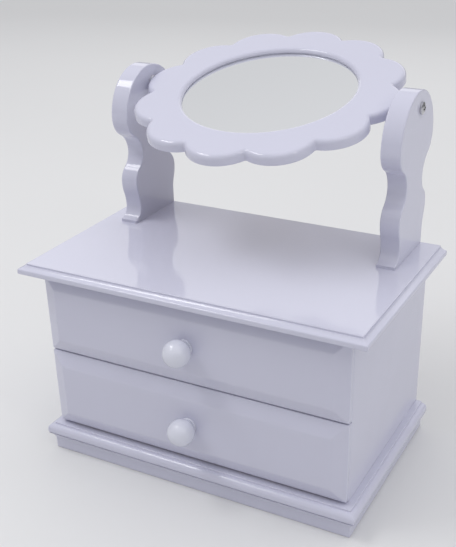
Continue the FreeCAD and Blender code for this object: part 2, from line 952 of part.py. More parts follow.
def mirror_clips():
    """Flat metal clips on the frame's back that hold the backing and the glass."""
    clips = []
    inner = rebate_radius - clip_lap
    for heading in clip_headings():
        plate = block(
            inner,
            inner + clip_length,
            -clip_width / 2,
            clip_width / 2,
            -half_frame - clip_thickness,
            -half_frame,
        )
        corners = edges_where(plate, lambda p: abs(abs(p.y) - clip_width / 2) < 1e-6)
        corners = [edge for edge in corners if abs(edge.tangentAt(edge.FirstParameter).z) > 0.9]
        plate = plate.makeFillet((clip_width - clip_end_flat) / 2, corners)
        hole = rod(
            clip_screw_radius + fixed_fit,
            Vector(clip_screw_radius_place(), 0, -half_frame - clip_thickness - 1),
            UP,
            clip_thickness + 2,
        )
        plate = plate.cut(hole)
        plate.rotate(Vector(0, 0, 0), UP, math.degrees(heading))
        clips.append(plate)
    return at_tilt(Part.makeCompound(clips))


def mirror_clip_screws():
    screws = []
    for heading in clip_headings():
        screw = screw_along(
            clip_screw_radius,
            clip_screw_head_radius,
            clip_screw_head_height,
            clip_screw_head_height + clip_thickness + clip_screw_length - 1,
            clip_screw_tip,
            False,
        )
        head_w = -half_frame - clip_thickness - clip_screw_head_height
        start = around(clip_screw_radius_place(), heading) + UP * head_w
        screws.append(pointed(screw, start, UP))
    return at_tilt(Part.makeCompound(screws))


def pivot_insert(side):
    """Threaded sleeve in the lobe tip that the pivot screw is tightened into."""
    start = Vector(side * spot_face_x, 0, 0)
    inward = Vector(-side, 0, 0)
    sleeve = rod(insert_radius, start, inward, insert_length)
    return at_tilt(sleeve.cut(rod(pivot_radius + fixed_fit / 2, start, inward, insert_length)))


def pivot_washer(side):
    start = Vector(side * spot_face_x, 0, 0)
    outward = Vector(side, 0, 0)
    disc = rod(washer_radius, start, outward, washer_thickness)
    return at_tilt(disc.cut(rod(pivot_radius + fixed_fit, start, outward, washer_thickness)))


def pivot_screw(side):
    """Pan-head screw through the post into the frame's insert."""
    head_x = post_outer_x + washer_side_play / 2 + pivot_head_height
    length = head_x - spot_face_x + insert_length - 1
    screw = screw_along(pivot_radius, pivot_head_radius, pivot_head_height, length, 0, False)
    return at_tilt(pointed(screw, Vector(side * head_x, 0, 0), Vector(-side, 0, 0)))


# ---------------------------------------------------------------- fastener groups
def post_screws():
    return Part.makeCompound(
        [pointed(wood_screw(post_screw_length), place, UP) for place in post_screw_places()]
    )


def base_screws():
    return Part.makeCompound(
        [pointed(wood_screw(base_screw_length), place, UP) for place in base_screw_places()]
    )


def top_dowels():
    return Part.makeCompound(
        [rod(dowel_radius, place, UP, dowel_length) for place in dowel_places()]
    )


def back_panel_pins():
    return Part.makeCompound([pointed(pin(), place, FORWARD) for place in pin_places()])


# ---------------------------------------------------------------- all pieces
def all_pieces():
    pieces = {
        "top_board": top_board(),
        "base_board": base_board(),
        "plinth_board": plinth_board(),
        "shelf": shelf(),
        "back_panel": back_panel(),
        "mirror_frame": mirror_frame(),
        "mirror_glass": mirror_glass(),
        "mirror_backing": mirror_backing(),
        "mirror_clips": mirror_clips(),
        "mirror_clip_screws": mirror_clip_screws(),
        "post_screws": post_screws(),
        "base_screws": base_screws(),
        "top_dowels": top_dowels(),
        "back_panel_pins": back_panel_pins(),
    }
    for name, side in SIDES.items():
        pieces[name + "_side_panel"] = side_panel(side)
        pieces[name + "_mirror_post"] = mirror_post(side)
        pieces[name + "_pivot_screw"] = pivot_screw(side)
        pieces[name + "_pivot_washer"] = pivot_washer(side)
        pieces[name + "_pivot_insert"] = pivot_insert(side)
    for name in DRAWERS:
        drawer = name + "_drawer_"
        pieces[drawer + "front"] = drawer_front(name)
        pieces[drawer + "inner_front"] = drawer_inner_front(name)
        pieces[drawer + "left_side"] = drawer_side(name, SIDES["left"])
        pieces[drawer + "right_side"] = drawer_side(name, SIDES["right"])
        pieces[drawer + "back"] = drawer_back(name)
        pieces[drawer + "bottom"] = drawer_bottom(name)
        pieces[drawer + "lining"] = drawer_lining(name)
        pieces[name + "_knob"] = knob(name)
        pieces[name + "_knob_screw"] = knob_screw(name)
    return pieces


def main():
    os.makedirs("parts", exist_ok=True)
    for node, shape in all_pieces().items():
        if not shape.isValid():
            raise ValueError(node + " is not a valid shape")
        shape.exportStep(os.path.join("parts", node + ".step"))
        print(node, len(shape.Solids), round(shape.Volume, 1))


main()
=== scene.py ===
"""Looks of a lacquered jewelry box with two drawers and a round scalloped mirror that tilts.

Everything is in metres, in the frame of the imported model: +X to the right seen from the front,
+Y to the back, +Z up, origin in the middle of the plinth's underside.
"""
import json
import math

import bmesh
import bpy
import numpy as np
from bpy.props import FloatProperty, FloatVectorProperty, IntProperty, PointerProperty
from mathutils import Matrix, Vector


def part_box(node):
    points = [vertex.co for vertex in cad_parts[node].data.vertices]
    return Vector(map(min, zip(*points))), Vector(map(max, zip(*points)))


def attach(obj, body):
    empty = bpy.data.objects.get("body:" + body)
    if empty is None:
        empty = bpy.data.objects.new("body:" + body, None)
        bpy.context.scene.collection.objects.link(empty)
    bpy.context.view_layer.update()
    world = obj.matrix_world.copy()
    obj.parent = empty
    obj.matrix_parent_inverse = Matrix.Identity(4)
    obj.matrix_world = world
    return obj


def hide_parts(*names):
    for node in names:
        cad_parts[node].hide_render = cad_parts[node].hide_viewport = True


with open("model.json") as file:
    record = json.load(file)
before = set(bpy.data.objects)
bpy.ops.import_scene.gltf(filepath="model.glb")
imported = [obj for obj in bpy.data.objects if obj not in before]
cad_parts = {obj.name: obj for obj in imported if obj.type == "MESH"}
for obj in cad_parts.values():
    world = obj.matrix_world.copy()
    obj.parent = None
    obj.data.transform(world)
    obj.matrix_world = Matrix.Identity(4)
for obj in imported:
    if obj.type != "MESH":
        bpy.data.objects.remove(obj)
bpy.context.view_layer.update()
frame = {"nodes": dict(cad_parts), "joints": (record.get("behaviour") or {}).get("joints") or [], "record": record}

bl_info = {
    "name": "Jewelry Box With Tilting Mirror",
    "version": (1, 0, 0),
    "blender": (4, 5, 0),
    "location": "3D View > Sidebar > Jewelry Box",
    "description": "Builds the boards, drawers, knobs, posts and scalloped mirror of a jewelry box",
    "category": "Object",
}

MM = 0.001
NODES = frame["nodes"]
DRAWERS = ("lower", "upper")
SIDES = ("left", "right")
DOUBLED_POINT = 1e-7  # two points of an outline closer than this are one
FELT_GRID = (81, 51)  # points across and along a lining
FELT_LIFT = 0.05 * MM  # gap between a lining and the drawer bottom
FELT_WAVES = (  # height, waves across, waves along, share of the lining's own shift
    (1.0, 61, 23, 1),
    (1.0, -29, 37, 2),
    (0.6, 113, -71, 3),
)
UPPER_FELT_SHIFT = 1.7  # sets the upper lining's ripples apart from the lower one's
SENSOR_WIDTH = 36.0  # millimetres
NEAREST_SEEN = 0.01
WORLD_TINT = (0.97, 0.975, 1.0, 1.0)


def length(name, description, default, low=0.0):
    """A size in metres for a property group."""
    return FloatProperty(
        name=name, description=description, default=default, min=low, unit="LENGTH", precision=5
    )


def colour(name, description, default):
    """A linear colour for a property group."""
    return FloatVectorProperty(
        name=name, description=description, default=default, size=3, min=0.0, max=1.0, subtype="COLOR"
    )


# ---------------------------------------------------------------- sizes and colours
class BoardSizes(bpy.types.PropertyGroup):
    """Mouldings of the top, base and plinth boards."""

    corner: length("Corner", "Softened mitre at a board's corner", 0.9 * MM)
    arris: length("Arris", "Softened edge of a painted board", 0.8 * MM)
    step_round: length("Step round", "Softened edge of the moulding's step", 0.35 * MM)
    quirk: length("Step", "Height of the small step where a moulding starts", 1.5 * MM)
    top_inset: length("Top inset", "Outer edge to the step on the top board", 5.5 * MM)
    quirk_flat: length("Step's foot", "Level strip at the foot of the top board's step", 0.6 * MM)
    hollow_fall: length("Hollow fall", "Hollow between the step and the nose", 1.9 * MM)
    hollow_bow: length("Hollow bow", "Depth of the hollow from its chord", 0.35 * MM)
    nose_inset: length("Nose inset", "Outer edge to the start of the nose", 1.5 * MM)
    nose_fall: length("Nose fall", "Height of the top board's nose", 1.4 * MM)
    nose_bow: length("Nose bow", "Rise of the top board's nose from its chord", 0.42 * MM)
    base_inset: length("Base inset", "Outer edge to the step on the base board", 4.8 * MM)
    base_fall: length("Base nose fall", "Height of the base board's nose", 4.6 * MM)
    base_bow: length("Base nose bow", "Rise of the base board's nose from its chord", 1.5 * MM)
    lip_round: length("Lip round", "Rounding under the base board's nose", 2.0 * MM)
    cove_depth: length("Cove depth", "Hollow under the base board's lip", 4.0 * MM)
    cove_height: length("Cove height", "Height of the hollow under the lip", 7.5 * MM)


class DrawerSizes(bpy.types.PropertyGroup):
    """Raised drawer fronts, their knobs and the felt inside."""

    bevel_width: length("Bevel width", "Sloping border of a drawer front", 12.0 * MM)
    bevel_depth: length("Bevel depth", "Fall of the sloping border", 5.5 * MM)
    blend: length("Blend radius", "Rounding between the field and the slope", 6.9 * MM)
    mitre: length("Mitre", "Softened mitre of the border", 1.0 * MM)
    edge: length("Edge", "Softened outer arris of a front", 0.7 * MM)
    ball: length("Ball", "Radius of a knob's ball", 11.0 * MM)
    ball_centre: length("Ball centre", "Ball's centre from the raised field", 11.8 * MM)
    neck: length("Neck", "Radius of a knob's neck", 5.0 * MM)
    foot: length("Foot", "Radius of a knob's foot", 6.8 * MM)
    foot_height: length("Foot height", "Thickness of a knob's foot", 1.3 * MM)
    foot_round: length("Foot round", "Rounding of the foot's edge", 0.6 * MM)
    felt: length("Felt", "Thickness of the felt lining", 1.3 * MM)
    pucker: length("Pucker", "Rise and fall of the laid felt", 0.12 * MM)


class PostSizes(bpy.types.PropertyGroup):
    """Wavy outline of a mirror post."""

    flare: length("Flare", "Toe in front of the pinch", 9.0 * MM)
    toe: length("Toe", "Height of the toe", 2.5 * MM)
    pinch: length("Pinch", "Half depth at the pinch above the foot", 27.7 * MM)
    bulge: length("Bulge", "Half depth at the bulge", 32.0 * MM)
    waist: length("Waist", "Half depth at the waist", 19.0 * MM)
    head: length("Head", "Radius of the round head", 39.0 * MM)
    pinch_share: FloatProperty(
        name="Pinch height", description="Share of the head centre's height", default=0.137
    )
    bulge_share: FloatProperty(
        name="Bulge height", description="Share of the head centre's height", default=0.38
    )
    waist_share: FloatProperty(
        name="Waist height", description="Share of the head centre's height", default=0.643
    )
    edge: length("Edge", "Softened edges of a post", 1.0 * MM)


class MirrorSizes(bpy.types.PropertyGroup):
    """Scalloped frame round the mirror."""

    lobes: IntProperty(name="Lobes", description="Number of scallops", default=12, min=3)
    tip: length("Tip", "Radius over the lobe tips", 110.9 * MM)
    notch: length("Notch", "Radius of the notches", 99.9 * MM)
    notch_round: length("Notch round", "Rounding in a notch", 1.5 * MM)
    opening: length("Opening", "Radius of the opening", 71.6 * MM)
    rebate: length("Rebate", "Radius of the rebate behind the lip", 78.1 * MM)
    thickness: length("Thickness", "Frame's thickness", 9.0 * MM)
    lip: length("Lip", "Depth of the glass below the frame's face", 4.3 * MM)
    front_round: length("Front round", "Soft outer edge of the face", 4.0 * MM)
    back_round: length("Back round", "Rounding at the back", 1.0 * MM)
    opening_round: length("Opening round", "Rounding round the opening", 4.0 * MM)
    spot: length("Spot", "Flat on the lobe tips at the pivot, from the centre", 109.9 * MM)
    tilt: FloatProperty(
        name="Tilt",
        description="Angle between the glass and level",
        default=math.radians(13.9),
        subtype="ANGLE",
    )


class Finishes(bpy.types.PropertyGroup):
    """Colours of the finishes."""

    lacquer: colour("Lacquer", "Glossy paint of the box", (0.615, 0.615, 0.735))
    knob: colour("Knob", "Glossy paint of the knobs", (0.70, 0.71, 0.80))
    fibreboard: colour("Fibreboard", "Bare board inside the drawers", (0.50, 0.36, 0.22))
    hardboard: colour("Hardboard", "Backing behind the glass", (0.17, 0.085, 0.04))
    felt: colour("Felt", "Lining of the drawers", (0.36, 0.32, 0.46))
    silver: colour("Silver", "Silvering of the mirror", (0.90, 0.91, 0.92))
    steel: colour("Steel", "Bright plated screws", (0.62, 0.62, 0.64))
    zinc: colour("Zinc", "Zinc-plated fasteners", (0.44, 0.43, 0.40))
    brass: colour("Brass", "Threaded sleeves", (0.60, 0.42, 0.16))
    nylon: colour("Nylon", "Washers", (0.70, 0.70, 0.72))
    beech: colour("Beech", "Dowels", (0.52, 0.33, 0.17))


class StageSettings(bpy.types.PropertyGroup):
    """Floor, lights and camera."""

    floor: colour("Floor", "Plain pale floor", (0.75, 0.75, 0.75))
    focal: FloatProperty(name="Focal length", description="In millimetres", default=61.48)
    azimuth: FloatProperty(
        name="Azimuth", description="Camera to the right of the front", default=0.4928, subtype="ANGLE"
    )
    elevation: FloatProperty(
        name="Elevation", description="Camera above level", default=0.4741, subtype="ANGLE"
    )
    roll: FloatProperty(name="Roll", description="Camera's roll", default=-0.0218, subtype="ANGLE")
    distance: length("Distance", "Camera to the middle of the box", 0.77156)
    shift_x: FloatProperty(name="Shift X", description="Lens shift sideways", default=-0.0219)
    shift_y: FloatProperty(name="Shift Y", description="Lens shift upwards", default=0.085)
    aside: length("Aside", "Camera's step to the right", 3.705 * MM)
    below: length("Below", "Camera's step down", 27.26 * MM)
    aim: length("Aim height", "Height of the point the camera faces", 0.15)
    floor_reach: length("Floor reach", "Half of the floor's side", 6.0)
    horizon: FloatProperty(name="Horizon", description="Even light at the horizon", default=0.22)
    backdrop: FloatProperty(name="Backdrop", description="Brightness behind the floor", default=0.62)
    zenith: FloatProperty(name="Zenith", description="Even light overhead", default=1.04)


# ---------------------------------------------------------------- profiles and outlines
def arc_points(start, middle, end, count):
    """Points along the circle through three points: centre plus radius times a turning direction."""
    a, b, c = (np.asarray(p, float) for p in (start, middle, end))
    d = 2 * (a[0] * (b[1] - c[1]) + b[0] * (c[1] - a[1]) + c[0] * (a[1] - b[1]))
    sa, sb, sc = (p @ p for p in (a, b, c))
    centre = np.array(
        [
            (sa * (b[1] - c[1]) + sb * (c[1] - a[1]) + sc * (a[1] - b[1])) / d,
            (sa * (c[0] - b[0]) + sb * (a[0] - c[0]) + sc * (b[0] - a[0])) / d,
        ]
    )
    first, mid, last = (math.atan2(*(p - centre)[::-1]) for p in (a, b, c))
    turn = (last - first) % (2 * math.pi)
    if (mid - first) % (2 * math.pi) > turn:
        turn -= 2 * math.pi
    angle = first + turn * np.linspace(0, 1, count)
    radius = np.linalg.norm(a - centre)
    return centre + radius * np.stack([np.cos(angle), np.sin(angle)], -1)


def bowed(start, end, bow, count):
    """Points along an arc between two points, its middle standing out from the chord by bow."""
    start, end = np.asarray(start, float), np.asarray(end, float)
    run = (end - start) / np.linalg.norm(end - start)
    middle = (start + end) / 2 + bow * np.array([run[1], -run[0]])
    return arc_points(start, middle, end, count)


def rounded_chain(corners, steps=5, support=0.3 * MM):
    """Straight runs joined by tangent arcs; a corner is (across, up, radius).

    Beside each arc stands one more point on each run, so that a flat face stays flat when shaded.
    """
    points = [np.array(corners[0][:2], float)]
    for before, corner, after in zip(corners, corners[1:], corners[2:]):
        here = np.array(corner[:2], float)
        radius = corner[2]
        if radius <= 0:
            points.append(here)
            continue
        back = np.array(before[:2], float) - here
        on = np.array(after[:2], float) - here
        back_length, on_length = np.linalg.norm(back), np.linalg.norm(on)
        back, on = back / back_length, on / on_length
        half = math.acos(np.clip(back @ on, -1, 1)) / 2
        reach = radius / math.tan(half)
        bisector = (back + on) / np.linalg.norm(back + on)
        middle = here + bisector * (radius / math.sin(half) - radius)
        if reach + support < back_length:
            points.append(here + back * (reach + support))
        points += list(arc_points(here + back * reach, middle, here + on * reach, steps))
        if reach + support < on_length:
            points.append(here + on * (reach + support))
    points.append(np.array(corners[-1][:2], float))
    return np.array(points)


def chain(*runs):
    """Runs of points joined end to end, without the doubled joints."""
    joined = np.concatenate(runs)
    keep = np.ones(len(joined), bool)
    keep[1:] = np.linalg.norm(np.diff(joined, axis=0), axis=1) > DOUBLED_POINT
    return joined[keep]


def offset_ring(ring, distance):
    """A closed outline moved inwards: each point goes along the mitre of its two edges' normals."""
    edge = np.roll(ring, -1, axis=0) - ring
    edge /= np.linalg.norm(edge, axis=1)[:, None]
    normal = np.stack([edge[:, 1], -edge[:, 0]], -1)
    before = np.roll(normal, 1, axis=0)
    mitre = (normal + before) / (1 + (normal * before).sum(1))[:, None]
    area = np.sum(ring[:, 0] * np.roll(ring[:, 1], -1) - ring[:, 1] * np.roll(ring[:, 0], -1))
    return ring - mitre * distance * np.sign(area)


# ---------------------------------------------------------------- meshes
def grid_quads(rows, columns, wrap_rows=False, wrap_columns=False, first=0):
    """Corner numbers of the squares of a grid whose points are numbered row by row."""
    row = np.arange(rows if wrap_rows else rows - 1)
    column = np.arange(columns if wrap_columns else columns - 1)
    r, c = (a.ravel() for a in np.meshgrid(row, column, indexing="ij"))
    next_r, next_c = (r + 1) % rows, (c + 1) % columns
    here, ahead = r * columns, next_r * columns
    quads = np.stack([here + c, here + next_c, ahead + next_c, ahead + c], -1)
    return (quads + first).tolist()


def make_piece(name, points, faces, body, slot, replaced=(), sharp=32.0):
    """A closed mesh from points and faces, shaded smooth except at edges sharper than an angle."""
    mesh = bpy.data.meshes.new(name)
    mesh.from_pydata(np.asarray(points, float).tolist(), [], faces)
    shell = bmesh.new()
    shell.from_mesh(mesh)
    bmesh.ops.recalc_face_normals(shell, faces=shell.faces)
    shell.to_mesh(mesh)
    shell.free()
    mesh.shade_smooth()
    mesh.set_sharp_from_angle(angle=math.radians(sharp))
    piece = bpy.data.objects.new(name, mesh)
    bpy.context.scene.collection.objects.link(piece)
    mesh.materials.append(finish_for(slot))
    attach(piece, body)
    if replaced:
        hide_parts(*replaced)
    return piece


def moulded_shell(profile, low, high, corner, corner_steps=5, support=1.0 * MM):
    """Board with one profile carried round its left, front and right edges, plain behind.

    profile rows are (inset, z) from the upper face to the lower. A point of the surface is the
    path's point moved in by the inset; each front corner turns through a small quarter circle.
    """
    turn = np.linspace(0, math.pi / 2, corner_steps)
    left_turn = np.stack([-np.cos(turn), -np.sin(turn)], -1)
    right_turn = np.stack([np.sin(turn), -np.cos(turn)], -1)
    inset = profile[:, 0][:, None]
    z = profile[:, 1][:, None]
    west, east, south = low.x + inset, high.x - inset, low.y + inset
    reach = corner + support

    def at(x, y):
        return np.stack([x + 0 * z, y + 0 * z, z + 0 * x], -1)

    columns = [at(west, high.y), at(west, south + reach)]
    columns.append(at(west + corner * (1 + left_turn[:, 0]), south + corner * (1 + left_turn[:, 1])))
    columns.append(at(west + reach, south))
    columns.append(at(east - reach, south))
    columns.append(at(east - corner * (1 - right_turn[:, 0]), south + corner * (1 + right_turn[:, 1])))
    columns += [at(east, south + reach), at(east, high.y)]
    grid = np.concatenate(columns, axis=1)
    rows, count = grid.shape[:2]
    faces = grid_quads(rows, count)
    faces.append(list(range(count)))
    faces.append(list(range((rows - 1) * count, rows * count)))
    behind = [row * count for row in range(rows)]
    behind += [row * count + count - 1 for row in reversed(range(rows))]
    faces.append(behind)
    return grid.reshape(-1, 3), faces


def ringed_shell(rings, closed=False):
    """Surface through a stack of closed rings, capped at both ends or closed on itself."""
    rings = np.asarray(rings)
    rows, count = rings.shape[:2]
    faces = grid_quads(rows, count, wrap_rows=closed, wrap_columns=True)
    if not closed:
        faces.append(list(range(count)))
        faces.append(list(range((rows - 1) * count, rows * count)))
    return rings.reshape(-1, 3), faces


def rounded_rectangle(half_width, half_height, inset, corner, steps=5, support=1.0 * MM):
    """Corners of a rectangle moved in by an inset, each turned through a quarter circle."""
    turn = np.linspace(0, math.pi / 2, steps)
    runs = []
    for quarter, (sx, sy) in enumerate(((1, 1), (-1, 1), (-1, -1), (1, -1))):
        centre = np.array([sx * (half_width - inset - corner), sy * (half_height - inset - corner)])
        angle = turn + quarter * math.pi / 2
        arc = centre + corner * np.stack([np.cos(angle), np.sin(angle)], -1)
        start = np.array([np.sin(angle[0]), -np.cos(angle[0])]) * support
        finish = np.array([-np.sin(angle[-1]), np.cos(angle[-1])]) * support
        runs += [arc[:1] + start, arc, arc[-1:] + finish]
    return np.concatenate(runs)


def turned_shell(profile, segments=72):
    """Surface of revolution about Z: radius times the turning direction, height kept.

    profile rows are (radius, height), and its first and last radius are zero.
    """
    angle = np.linspace(0, 2 * math.pi, segments, endpoint=False)
    radius = profile[1:-1, 0][:, None]
    rings = np.stack(
        [radius * np.cos(angle), radius * np.sin(angle), profile[1:-1, 1][:, None] + 0 * angle], -1
    )
    rows = len(rings)
    points = np.concatenate(
        [rings.reshape(-1, 3), [[0, 0, profile[0, 1]]], [[0, 0, profile[-1, 1]]]]
    )
    faces = grid_quads(rows, segments, wrap_columns=True)
    step = np.arange(segments)
    ahead = (step + 1) % segments
    low, top = rows * segments, rows * segments + 1
    faces += np.stack([ahead, step, 0 * step + low], -1).tolist()
    last = (rows - 1) * segments
    faces += np.stack([last + step, last + ahead, 0 * step + top], -1).tolist()
    return points, faces


# ---------------------------------------------------------------- shader arithmetic
class Value:
    """One shader socket, so that a material reads as arithmetic."""

    def __init__(self, shader, socket):
        self.shader = shader
        self.socket = socket

    def join(self, operation, first, second):
        return self.shader.node("ShaderNodeMath", {"operation": operation}, {0: first, 1: second})

    def __add__(self, other):
        return self.join("ADD", self, other)

    def __radd__(self, other):
        return self.join("ADD", other, self)

    def __mul__(self, other):
        return self.join("MULTIPLY", self, other)

    def above(self, edge, softness):
        """0 below an edge, 1 above it, with a soft step between."""
        return self.shader.node(
            "ShaderNodeMapRange",
            {"interpolation_type": "SMOOTHSTEP"},
            {0: self, 1: edge - softness, 2: edge + softness, 3: 0.0, 4: 1.0},
        )


class Shader:
    """One material with a Principled shader, built node by node."""

    def __init__(self, name, **constants):
        self.material = bpy.data.materials.new(name)
        self.material.use_nodes = True
        self.tree = self.material.node_tree
        self.surface = self.tree.nodes["Principled BSDF"]
        for socket, value in constants.items():
            self.surface.inputs[socket.replace("_", " ")].default_value = value

    def node(self, kind, settings=None, inputs=None, output=0):
        made = self.tree.nodes.new(kind)
        for key, value in (settings or {}).items():
            setattr(made, key, value)
        for key, value in (inputs or {}).items():
            if isinstance(value, Value):
                self.tree.links.new(value.socket, made.inputs[key])
            elif hasattr(value, "__len__") and len(value) == 3 and made.inputs[key].type == "RGBA":
                made.inputs[key].default_value = (*value, 1.0)
            else:
                made.inputs[key].default_value = value
        return Value(self, made.outputs[output])

    def place(self, scale=(1.0, 1.0, 1.0)):
        """Object coordinates, stretched along each axis."""
        coordinates = self.node("ShaderNodeTexCoord", output="Object")
        return self.node("ShaderNodeMapping", None, {"Vector": coordinates, "Scale": scale})

    def noise(self, scale, detail=3.0, roughness=0.55, stretch=(1.0, 1.0, 1.0)):
        return self.node(
            "ShaderNodeTexNoise",
            None,
            {"Vector": self.place(stretch), "Scale": scale, "Detail": detail, "Roughness": roughness},
        )

    def mix(self, factor, first, second):
        return self.node(
            "ShaderNodeMix", {"data_type": "RGBA"}, {0: factor, 6: first, 7: second}, output=2
        )

    def bump(self, height, distance, normal=None):
        inputs = {"Height": height, "Distance": distance, "Strength": 1.0}
        if normal is not None:
            inputs["Normal"] = normal
        return self.node("ShaderNodeBump", None, inputs)

    def feed(self, **values):
        """Links varying values to the Principled shader's sockets and returns the material."""
        for socket, value in values.items():
            self.tree.links.new(value.socket, self.surface.inputs[socket.replace("_", " ")])
        return self.material


def tinted(shade, factor):
    return tuple(min(1.0, c * factor) for c in shade)


# ---------------------------------------------------------------- finishes
def lacquer_finish(name, shade, peel=1.0):
    """Sprayed gloss paint: a clear film over colour, with orange peel, faint clouding and dust."""
    made = Shader(name, IOR=1.5, Coat_Weight=0.0, Specular_IOR_Level=0.5)
    cloud = made.noise(9.0, 2.0)
    fine = made.noise(340.0, 2.0)
    mottled = made.mix(cloud, tinted(shade, 0.975), tinted(shade, 1.02))
    dust = made.noise(1500.0, 1.0).above(0.73, 0.015)
    base = made.mix(dust * 0.25, mottled, tinted(shade, 0.72))
    smear = made.noise(38.0, 4.0, stretch=(1.0, 2.6, 1.0))
    rough = 0.05 + smear * 0.06 + dust * 0.25
    peel_height = made.noise(210.0, 1.0) * 0.7 + fine * 0.3
    ripple = made.noise(24.0, 1.0)
    normal = made.bump(peel_height, 0.000035 * peel)
    normal = made.bump(ripple, 0.00028 * peel, normal=normal)
    return made.feed(Base_Color=base, Roughness=rough, Normal=normal)


def fibreboard_finish(name, shade):
    """Bare fibreboard: felted fibres, darker specks and a slightly furred surface."""
    made = Shader(name, IOR=1.45, Specular_IOR_Level=0.3)
    fibres = made.noise(620.0, 4.0, 0.7, (1.0, 0.35, 1.0))
    cloud = made.noise(22.0, 3.0)
    specks = made.noise(900.0, 1.0).above(0.66, 0.04)
    body = made.mix(fibres, tinted(shade, 0.78), tinted(shade, 1.18))
    body = made.mix(cloud * 0.5, body, tinted(shade, 0.9))
    body = made.mix(specks * 0.5, body, tinted(shade, 0.45))
    rough = 0.62 + fibres * 0.25
    return made.feed(Base_Color=body, Roughness=rough, Normal=made.bump(fibres, 0.00012))


def hardboard_finish(name, shade):
    """Pressed hardboard: a woven screen pattern pressed into dark fibres."""
    made = Shader(name, IOR=1.45, Specular_IOR_Level=0.35)
    weave = {"Scale": 180.0, "Distortion": 0.3}
    across, along = (
        made.node("ShaderNodeTexWave", {"bands_direction": axis}, {"Vector": made.place(), **weave})
        for axis in "XY"
    )
    screen = across * along
    fibres = made.noise(420.0, 4.0, 0.65)
    body = made.mix(fibres, tinted(shade, 0.7), tinted(shade, 1.5))
    body = made.mix(screen * 0.4, body, tinted(shade, 0.55))
    rough = 0.45 + fibres * 0.3
    return made.feed(Base_Color=body, Roughness=rough, Normal=made.bump(screen + fibres * 0.5, 0.00015))


def felt_finish(name, shade):
    """Short-pile felt: matted fibres that catch a little light at grazing angles."""
    made = Shader(name, IOR=1.4, Specular_IOR_Level=0.15, Sheen_Weight=0.6, Sheen_Roughness=0.45)
    fibres = made.noise(1400.0, 5.0, 0.75)
    tufts = made.noise(160.0, 3.0)
    nap = made.noise(14.0, 2.0, stretch=(1.0, 2.0, 1.0))
    body = made.mix(fibres, tinted(shade, 0.62), tinted(shade, 1.35))
    body = made.mix(nap * 0.45, body, tinted(shade, 1.2))
    rough = 0.86 + tufts * 0.12
    height = fibres * 0.7 + tufts * 0.6
    return made.feed(Base_Color=body, Roughness=rough, Normal=made.bump(height, 0.00035))


def silver_finish(name, shade):
    """Silvered glass: a mirror with faint wipe marks and a few dust grains."""
    made = Shader(name, Metallic=1.0, IOR=1.5)
    wipe = made.noise(16.0, 4.0, stretch=(1.0, 3.0, 1.0))
    dust = made.noise(1300.0, 1.0).above(0.76, 0.012)
    base = made.mix(dust * 0.4, shade, tinted(shade, 0.7))
    rough = 0.012 + wipe * 0.022 + dust * 0.3
    return made.feed(Base_Color=base, Roughness=rough)


def metal_finish(name, shade, polish, grain):
    """Plated metal: a fine turned grain, dulled hollows and hairline scratches."""
    made = Shader(name, Metallic=1.0)
    turned = made.noise(grain, 2.0, stretch=(1.0, 1.0, 6.0))
    patches = made.noise(170.0, 3.0)
    scratches = made.noise(900.0, 2.0, stretch=(7.0, 1.0, 1.0)).above(0.62, 0.03)
    base = made.mix(patches * 0.5, shade, tinted(shade, 0.72))
    rough = polish + turned * 0.12 + scratches * 0.12
    return made.feed(Base_Color=base, Roughness=rough, Normal=made.bump(turned, 0.00002))


def threaded_finish(name, shade):
    """Brass sleeve with a fine thread: ridges repeat along the pivot axis."""
    made = Shader(name, Metallic=1.0)
    thread = made.node(
        "ShaderNodeTexWave", {"bands_direction": "X"}, {"Vector": made.place(), "Scale": 450.0}
    )
    tarnish = made.noise(260.0, 3.0)
    base = made.mix(tarnish * 0.6, shade, tinted(shade, 0.6))
    rough = 0.28 + tarnish * 0.2
    return made.feed(Base_Color=base, Roughness=rough, Normal=made.bump(thread, 0.0002))


def nylon_finish(name, shade):
    """Moulded nylon: slightly cloudy, with a very fine ripple."""
    made = Shader(name, IOR=1.53, Subsurface_Weight=0.15, Subsurface_Scale=0.001)
    cloud = made.noise(300.0, 3.0)
    body = made.mix(cloud, tinted(shade, 0.93), tinted(shade, 1.04))
    return made.feed(Base_Color=body, Roughness=0.32 + cloud * 0.15, Normal=made.bump(cloud, 0.00003))


def beech_finish(name, shade):
    """Beech dowel: straight grain with short darker flecks along it."""
    made = Shader(name, IOR=1.45, Specular_IOR_Level=0.3)
    grain = made.noise(420.0, 4.0, 0.6, (1.0, 1.0, 0.08))
    flecks = made.noise(1100.0, 1.0, 0.5, (1.0, 1.0, 0.2)).above(0.62, 0.04)
    body = made.mix(grain, tinted(shade, 0.8), tinted(shade, 1.15))
    body = made.mix(flecks * 0.5, body, tinted(shade, 0.55))
    return made.feed(Base_Color=body, Roughness=0.5 + grain * 0.2, Normal=made.bump(grain, 0.00008))


MAKERS = {
    "lacquer": lambda c: lacquer_finish("lacquer", c.lacquer),
    "knob": lambda c: lacquer_finish("knob_lacquer", c.knob, 0.5),
    "raw_board": lambda c: fibreboard_finish("bare_fibreboard", c.fibreboard),
    "hardboard": lambda c: hardboard_finish("hardboard", c.hardboard),
    "felt": lambda c: felt_finish("felt", c.felt),
    "glass": lambda c: silver_finish("mirror_silver", c.silver),
    "screw": lambda c: metal_finish("bright_plating", c.steel, 0.10, 500.0),
    "fastener": lambda c: metal_finish("zinc_plating", c.zinc, 0.26, 350.0),
    "insert": lambda c: threaded_finish("threaded_brass", c.brass),
    "washer": lambda c: nylon_finish("nylon", c.nylon),
    "dowel": lambda c: beech_finish("beech", c.beech),
}
MADE = {}


def finish_for(slot):
    """The material of a slot, made once."""
    if slot not in MADE:
        MADE[slot] = MAKERS[slot](bpy.context.scene.jewelry_finishes)
    return MADE[slot]


